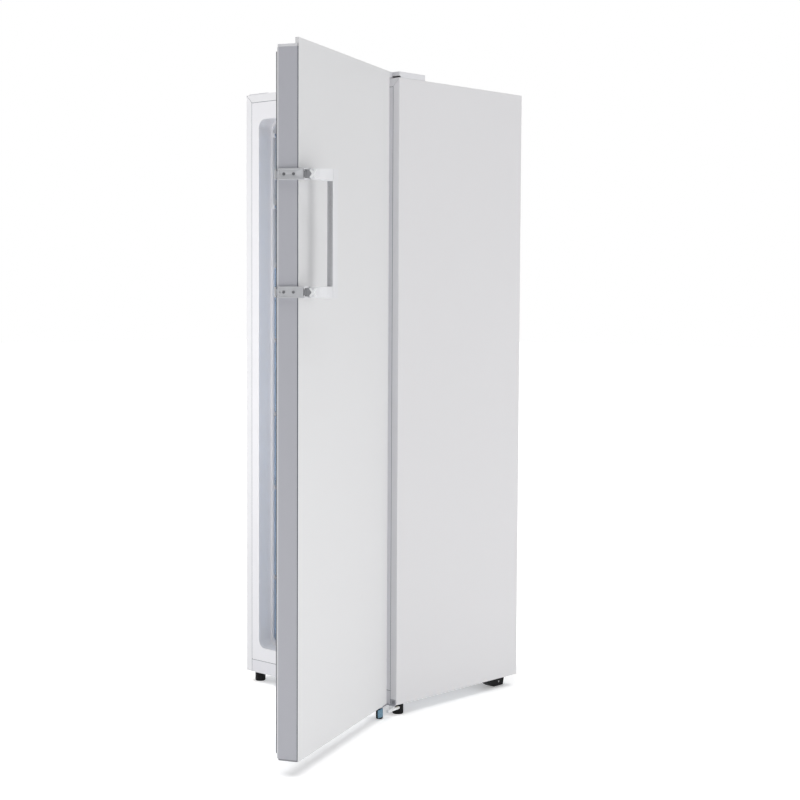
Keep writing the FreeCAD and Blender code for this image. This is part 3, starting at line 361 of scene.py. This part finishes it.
def grown_piece(name, tree, keys, values, points=None):
    """Runs a tree on a piece and returns the plain mesh it makes."""
    mesh = bpy.data.meshes.new(name + "_seed")
    if points:
        mesh.from_pydata([Vector(p) for p in points], [], [])
    seed = bpy.data.objects.new(name + "_seed", mesh)
    bpy.context.scene.collection.objects.link(seed)
    modifier = seed.modifiers.new("grow", "NODES")
    modifier.node_group = tree
    for label, value in values.items():
        modifier[keys[label]] = value
    graph = bpy.context.evaluated_depsgraph_get()
    grown = seed.evaluated_get(graph)
    made = bpy.data.meshes.new_from_object(grown, preserve_all_data_layers=True, depsgraph=graph)
    made.name = name
    piece = bpy.data.objects.new(name, made)
    bpy.context.scene.collection.objects.link(piece)
    seed.modifiers.remove(modifier)
    bpy.data.objects.remove(seed)
    return piece


def end_tree(tree, geometry, finish):
    """Realises the instances and gives them their finish."""
    real = tree.nodes.new("GeometryNodeRealizeInstances")
    paint = tree.nodes.new("GeometryNodeSetMaterial")
    paint.inputs["Material"].default_value = finish
    out = tree.nodes.new("NodeGroupOutput")
    tree.links.new(geometry, real.inputs["Geometry"])
    tree.links.new(real.outputs["Geometry"], paint.inputs["Geometry"])
    tree.links.new(paint.outputs["Geometry"], out.inputs["Geometry"])


def row_of_wires():
    """A row of thin upright rods: count, first place, step, length and radius."""
    tree, keys = new_tree("row of wires", [
        ("Count", "NodeSocketInt"), ("Start", "NodeSocketVector"), ("Step", "NodeSocketVector"),
        ("Length", "NodeSocketFloat"), ("Radius", "NodeSocketFloat"), ("Turn", "NodeSocketVector"),
    ])
    inputs = tree.nodes.new("NodeGroupInput")
    line = tree.nodes.new("GeometryNodeMeshLine")
    rod = tree.nodes.new("GeometryNodeMeshCylinder")
    rod.inputs["Vertices"].default_value = 8
    place = tree.nodes.new("GeometryNodeInstanceOnPoints")
    link = tree.links.new
    link(inputs.outputs["Count"], line.inputs["Count"])
    link(inputs.outputs["Start"], line.inputs["Start Location"])
    link(inputs.outputs["Step"], line.inputs["Offset"])
    link(inputs.outputs["Length"], rod.inputs["Depth"])
    link(inputs.outputs["Radius"], rod.inputs["Radius"])
    link(line.outputs["Mesh"], place.inputs["Points"])
    link(rod.outputs["Mesh"], place.inputs["Instance"])
    link(inputs.outputs["Turn"], place.inputs["Rotation"])
    end_tree(tree, place.outputs["Instances"], finishes["wire"])
    return tree, keys


def condenser_wires():
    """Thin rods welded to both sides of the condenser's tube, as its cooling surface."""
    low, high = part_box("condenser")
    tree, keys = row_of_wires()
    pitch = 0.0078
    first = low.x + 0.030
    count = int((high.x - 0.030 - first) / pitch)
    tube_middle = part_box("rear_panel")[1].y + 0.010
    for side, name in ((-1, "condenser_front_wires"), (1, "condenser_rear_wires")):
        start = (first, tube_middle + side * 0.0030, (low.z + high.z) / 2)
        piece = grown_piece(name, tree, keys, {
            "Count": count, "Start": start,
            "Step": (pitch, 0.0, 0.0), "Length": high.z - low.z - 0.004, "Radius": 0.0007,
            "Turn": (0.0, 0.0, 0.0),
        })
        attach(piece, "cabinet")


def screw_heads_tree():
    """Domed heads with a cross recess, one on each point, all facing one way."""
    tree, keys = new_tree("cross-head screws", [
        ("Geometry", "NodeSocketGeometry"), ("Radius", "NodeSocketFloat"), ("Turn", "NodeSocketVector"),
    ])
    inputs = tree.nodes.new("NodeGroupInput")
    link = tree.links.new
    head = tree.nodes.new("GeometryNodeMeshCone")
    head.inputs["Vertices"].default_value = 24
    head.inputs["Radius Top"].default_value = 0.62
    head.inputs["Radius Bottom"].default_value = 1.0
    head.inputs["Depth"].default_value = 0.55
    cuts = []
    for size in ((1.0, 0.2, 0.5), (0.2, 1.0, 0.5)):
        slot = tree.nodes.new("GeometryNodeMeshCube")
        slot.inputs["Size"].default_value = size
        shift = tree.nodes.new("GeometryNodeTransform")
        shift.inputs["Translation"].default_value = (0.0, 0.0, 0.55)
        link(slot.outputs["Mesh"], shift.inputs["Geometry"])
        cuts.append(shift.outputs["Geometry"])
    sink = tree.nodes.new("GeometryNodeMeshBoolean")
    sink.operation = "DIFFERENCE"
    link(head.outputs["Mesh"], sink.inputs[0])
    for cutter in cuts:
        link(cutter, sink.inputs[1])
    place = tree.nodes.new("GeometryNodeInstanceOnPoints")
    points = tree.nodes.new("GeometryNodeMeshToPoints")
    link(inputs.outputs["Geometry"], points.inputs["Mesh"])
    link(points.outputs["Points"], place.inputs["Points"])
    link(sink.outputs["Mesh"], place.inputs["Instance"])
    link(inputs.outputs["Turn"], place.inputs["Rotation"])
    link(inputs.outputs["Radius"], place.inputs["Scale"])
    end_tree(tree, place.outputs["Instances"], finishes["turned"])
    return tree, keys


def rear_screws():
    """The screws that hold the rear panel and the machine niche's frame."""
    tree, keys = screw_heads_tree()
    low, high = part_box("rear_panel")
    y = high.y
    rows = [low.z + 0.02 + n * (high.z - low.z - 0.04) / 6 for n in range(7)]
    points = [(x, y, z) for x in (low.x + 0.019, high.x - 0.019) for z in rows]
    points += [(low.x + 0.12 + n * 0.115, y, high.z - 0.014) for n in range(4)]
    piece = grown_piece("rear_screws", tree, keys, {
        "Radius": 0.0038, "Turn": (math.radians(-90), 0.0, 0.0),
    }, points)
    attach(piece, "cabinet")


# Pipes and small parts


def pipe(name, points, radius, finish):
    """A bent copper or steel pipe that follows a smooth line, closed at both ends."""
    curve = bpy.data.curves.new(name + "_line", "CURVE")
    curve.dimensions = "3D"
    spline = curve.splines.new("NURBS")
    spline.points.add(len(points) - 1)
    for point, place in zip(spline.points, points):
        point.co = (*place, 1.0)
    spline.order_u = 3
    spline.use_endpoint_u = True
    curve.bevel_depth = radius
    curve.bevel_resolution = 3
    curve.use_fill_caps = True
    curve.resolution_u = 10
    holder = bpy.data.objects.new(name + "_line", curve)
    bpy.context.scene.collection.objects.link(holder)
    graph = bpy.context.evaluated_depsgraph_get()
    mesh = bpy.data.meshes.new_from_object(holder.evaluated_get(graph))
    bpy.data.objects.remove(holder)
    mesh.name = name
    mesh.materials.clear()
    mesh.materials.append(finish)
    for face in mesh.polygons:
        face.use_smooth = True
    piece = bpy.data.objects.new(name, mesh)
    bpy.context.scene.collection.objects.link(piece)
    return piece


def refrigerant_pipes():
    """The four pipes that join compressor, condenser, dryer and cooler."""
    can_low, can_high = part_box("compressor")
    dry_low, dry_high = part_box("filter_dryer")
    coil_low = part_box("condenser")[0]
    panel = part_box("rear_panel")[1]
    mid_y = (can_low.y + can_high.y) / 2
    out_x = can_high.x - 0.029
    runs = {
        "discharge_pipe": ([
            (out_x - 0.006, mid_y + 0.02, can_low.z + 0.075),
            (out_x + 0.014, mid_y + 0.02, can_low.z + 0.075),
            (out_x + 0.034, mid_y + 0.024, can_low.z + 0.08),
            (out_x + 0.036, mid_y + 0.05, can_low.z + 0.13),
            (out_x + 0.036, panel.y + 0.004, can_low.z + 0.185),
            (out_x + 0.036, panel.y + 0.010, coil_low.z - 0.02),
            (out_x + 0.036, panel.y + 0.010, coil_low.z + 0.0025),
        ], 0.0026),
        "suction_pipe": ([
            (out_x - 0.006, mid_y - 0.02, can_low.z + 0.052),
            (out_x + 0.016, mid_y - 0.02, can_low.z + 0.052),
            (out_x + 0.052, mid_y - 0.02, can_low.z + 0.056),
            (out_x + 0.060, mid_y - 0.045, can_low.z + 0.1),
            (out_x + 0.060, mid_y - 0.06, can_low.z + 0.15),
            (out_x + 0.060, mid_y - 0.065, can_low.z + 0.187),
        ], 0.0034),
        "dryer_inlet_pipe": ([
            (dry_low.x + 0.002, dry_low.y + 0.014, dry_low.z + 0.012),
            (dry_low.x - 0.02, dry_low.y + 0.014, dry_low.z + 0.012),
            (dry_low.x - 0.036, dry_low.y + 0.03, dry_low.z + 0.02),
            (dry_low.x - 0.038, dry_low.y + 0.09, dry_low.z + 0.06),
            (dry_low.x - 0.038, panel.y + 0.008, dry_low.z + 0.09),
            (dry_low.x - 0.038, panel.y + 0.010, coil_low.z + 0.0025),
        ], 0.0024),
        "capillary_pipe": ([
            (dry_high.x - 0.002, dry_low.y + 0.014, dry_low.z + 0.012),
            (dry_high.x + 0.02, dry_low.y + 0.014, dry_low.z + 0.012),
            (dry_high.x + 0.04, dry_low.y + 0.02, dry_low.z + 0.02),
            (dry_high.x + 0.042, dry_low.y + 0.014, dry_low.z + 0.05),
            (dry_high.x + 0.042, dry_low.y + 0.012, dry_low.z + 0.067),
        ], 0.0012),
    }
    for name, (points, radius) in runs.items():
        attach(pipe(name, points, radius, finishes["copper"]), "cabinet")


def blue_tag():
    """The blue film tag that hangs beside the hinge foot."""
    start, end = Vector((0.0143, -0.0207, 0.0)), Vector((0.0100, 0.0033, 0.0))
    low, high_front, high_back = 0.0068, 0.0275, 0.0304
    across, up = 10, 8
    mesh = bmesh.new()
    grid = []
    for j in range(up + 1):
        v = j / up
        row = []
        for i in range(across + 1):
            u = i / across
            p = start.lerp(end, u)
            p.z = low + (high_front + (high_back - high_front) * u - low) * v
            curl = 0.0010 * math.sin(math.pi * u) + 0.0008 * (1 - v) ** 2
            row.append(mesh.verts.new(p + Vector((curl, 0, 0))))
        grid.append(row)
    for j in range(up):
        for i in range(across):
            mesh.faces.new((grid[j][i], grid[j][i + 1], grid[j + 1][i + 1], grid[j + 1][i]))
    data = bpy.data.meshes.new("blue_tag")
    mesh.to_mesh(data)
    mesh.free()
    data.materials.append(finishes["tag"])
    for face in data.polygons:
        face.use_smooth = True
    piece = bpy.data.objects.new("blue_tag", data)
    bpy.context.scene.collection.objects.link(piece)
    wall = piece.modifiers.new("film", "SOLIDIFY")
    wall.thickness = 0.0006
    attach(piece, "cabinet")


def thin_bar(mesh, start, end, width, y0, y1):
    """Adds an upright flat bar between two places given as x and z."""
    a, b = Vector((start[0], 0.0, start[1])), Vector((end[0], 0.0, end[1]))
    side = (b - a).normalized().cross(Vector((0.0, 1.0, 0.0))) * (width / 2)
    ring = [a + side, b + side, b - side, a - side]
    near = [mesh.verts.new((p.x, y0, p.z)) for p in ring]
    far = [mesh.verts.new((p.x, y1, p.z)) for p in ring]
    mesh.faces.new(near)
    mesh.faces.new(far[::-1])
    for n in range(4):
        mesh.faces.new((near[(n + 1) % 4], near[n], far[n], far[(n + 1) % 4]))


# Gives a strip of painted shade its dark finish and hangs it on a body.
def seam_piece(name, mesh, body):
    bmesh.ops.recalc_face_normals(mesh, faces=mesh.faces)
    data = bpy.data.meshes.new(name)
    mesh.to_mesh(data)
    mesh.free()
    data.materials.append(finishes["seam"])
    piece = bpy.data.objects.new(name, data)
    bpy.context.scene.collection.objects.link(piece)
    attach(piece, body)


frame_gap = 0.0012
flange = 0.022


def frame_seams():
    """Painted shade: dark strips set in the joints between the bent flanges, the inner frame and the rail,
    where the gaps hold only shade.
    """
    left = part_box("left_side_panel")[0].x + flange + frame_gap / 2
    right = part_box("right_side_panel")[1].x - flange - frame_gap / 2
    low, rail_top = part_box("front_rail")
    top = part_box("right_side_panel")[1].z - flange - frame_gap / 2
    y0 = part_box("right_side_panel")[0].y + 0.0003
    y1 = y0 + 0.0005
    rail = rail_top.z + frame_gap / 2
    mesh = bmesh.new()
    thin_bar(mesh, (left, low.z + 0.001), (left, top), frame_gap, y0, y1)
    thin_bar(mesh, (right, low.z + 0.001), (right, top), frame_gap, y0, y1)
    thin_bar(mesh, (left, top), (right, top), frame_gap, y0, y1)
    thin_bar(mesh, (left, rail), (right, rail), frame_gap, y0, y1)
    reach = flange - 0.0008
    thin_bar(mesh, (right, top), (right + reach, top + reach), 0.0009, y0, y1)
    thin_bar(mesh, (left, top), (left - reach, top + reach), 0.0009, y0, y1)
    seam_piece("frame_seams", mesh, "cabinet")


# The door as it stands when shut; it is drawn open by this angle
open_angle = math.radians(112.9)
door_left, door_right = -0.579, 0.015
groove_depth = 0.0012
groove_front, groove_back = -0.0134, -0.0116


def door_groove_shade():
    """Painted shade: dark strips at the bottom of the narrow grooves between the door's face and its edge
    sheets, standing in for the shade deep in the grooves.
    """
    z0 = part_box("door_outer_panel")[0].z + 0.003
    z1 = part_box("door_free_edge")[1].z
    turn = Matrix.Rotation(open_angle, 4, "Z")
    mesh = bmesh.new()
    for x in (door_left + groove_depth, door_right - groove_depth):
        thin_bar(mesh, (x, z0), (x, z1), 0.0006, groove_front, groove_back)
    bmesh.ops.transform(mesh, matrix=turn, verts=mesh.verts)
    seam_piece("door_groove_shade", mesh, "door")


# Room, light and camera


def pale_floor():
    """A plain pale floor that glows a little, so that shadows stay light."""
    mesh = bmesh.new()
    bmesh.ops.create_grid(mesh, x_segments=1, y_segments=1, size=30.0)
    data = bpy.data.meshes.new("floor")
    mesh.to_mesh(data)
    mesh.free()
    f = Finish("pale_floor", (0.93, 0.93, 0.93), 0.9)
    f.shader.inputs["Specular IOR Level"].default_value = 0.0
    f.shader.inputs["Emission Color"].default_value = (1.0, 1.0, 1.0, 1.0)
    f.shader.inputs["Emission Strength"].default_value = 0.30
    data.materials.append(f.material)
    floor = bpy.data.objects.new("floor", data)
    bpy.context.scene.collection.objects.link(floor)


def soft_room():
    world = bpy.data.worlds.new("studio")
    bpy.context.scene.world = world
    world.use_nodes = True
    tree = world.node_tree
    tree.nodes.clear()
    seen = tree.nodes.new("ShaderNodeBackground")
    seen.inputs["Strength"].default_value = 1.0
    seen.inputs["Color"].default_value = (1, 1, 1, 1)
    glow = tree.nodes.new("ShaderNodeBackground")
    glow.inputs["Strength"].default_value = 0.25
    glow.inputs["Color"].default_value = (0.985, 0.992, 1.0, 1)
    path = tree.nodes.new("ShaderNodeLightPath")
    mix = tree.nodes.new("ShaderNodeMixShader")
    out = tree.nodes.new("ShaderNodeOutputWorld")
    tree.links.new(path.outputs["Is Camera Ray"], mix.inputs["Fac"])
    tree.links.new(glow.outputs["Background"], mix.inputs[1])
    tree.links.new(seen.outputs["Background"], mix.inputs[2])
    tree.links.new(mix.outputs["Shader"], out.inputs["Surface"])


def lamp(name, place, aim, size, power, colour=(1, 1, 1)):
    data = bpy.data.lights.new(name, "AREA")
    data.shape = "RECTANGLE"
    data.size, data.size_y = size
    data.energy = power
    data.color = colour
    light = bpy.data.objects.new(name, data)
    light.location = place
    light.rotation_euler = (Vector(aim) - Vector(place)).to_track_quat("-Z", "Y").to_euler()
    bpy.context.scene.collection.objects.link(light)
    light.visible_camera = False
    return light


def studio_lights():
    """A broad overhead sun, a tall softbox on each side and a small box that fills the open cabinet."""
    sun = bpy.data.lights.new("overhead", "SUN")
    sun.energy = 2.3
    sun.angle = math.radians(70)
    overhead = bpy.data.objects.new("overhead", sun)
    bpy.context.scene.collection.objects.link(overhead)
    lamp("right_box", (4.6, 0.6, 1.5), (0.0, 0.2, 0.9), (2.4, 3.4), 50.0, (1.0, 0.995, 0.99))
    lamp("inside_fill", (-0.13, -0.40, 1.0), (-0.60, 0.20, 0.95), (0.22, 1.4), 2.0, (0.98, 0.99, 1.0))
    lamp("left_box", (-4.2, -1.7, 1.5), (-0.4, 0.0, 0.9), (2.0, 3.2), 70.0, (0.99, 0.99, 1.0))


camera_place = (2.9552, -3.1145, 1.1224)
camera_lens = 73.2
camera_turn = (0.7473, 0.0623, 0.0052)


def place_camera():
    """A long lens from the hinge side, turned by its yaw, its downward pitch and its roll."""
    yaw, pitch, roll = camera_turn
    ahead = Vector((-math.sin(yaw) * math.cos(pitch), math.cos(yaw) * math.cos(pitch), -math.sin(pitch)))
    right = Vector((math.cos(yaw), math.sin(yaw), 0.0))
    up = right.cross(ahead)
    level = right * math.cos(roll) + up * math.sin(roll)
    upright = up * math.cos(roll) - right * math.sin(roll)
    data = bpy.data.cameras.new("camera")
    data.sensor_width = 36.0
    data.lens = camera_lens
    data.clip_start, data.clip_end = 0.05, 200.0
    camera = bpy.data.objects.new("camera", data)
    turn = Matrix((level, upright, -ahead)).transposed().to_4x4()
    camera.matrix_world = Matrix.Translation(camera_place) @ turn
    bpy.context.scene.collection.objects.link(camera)
    bpy.context.scene.camera = camera


dress_cad_nodes()
soften_edges()
condenser_wires()
rear_screws()
refrigerant_pipes()
blue_tag()
frame_seams()
door_groove_shade()
pale_floor()
soft_room()
studio_lights()
place_camera()
bpy.context.scene.view_settings.view_transform = "Standard"
bpy.context.view_layer.update()
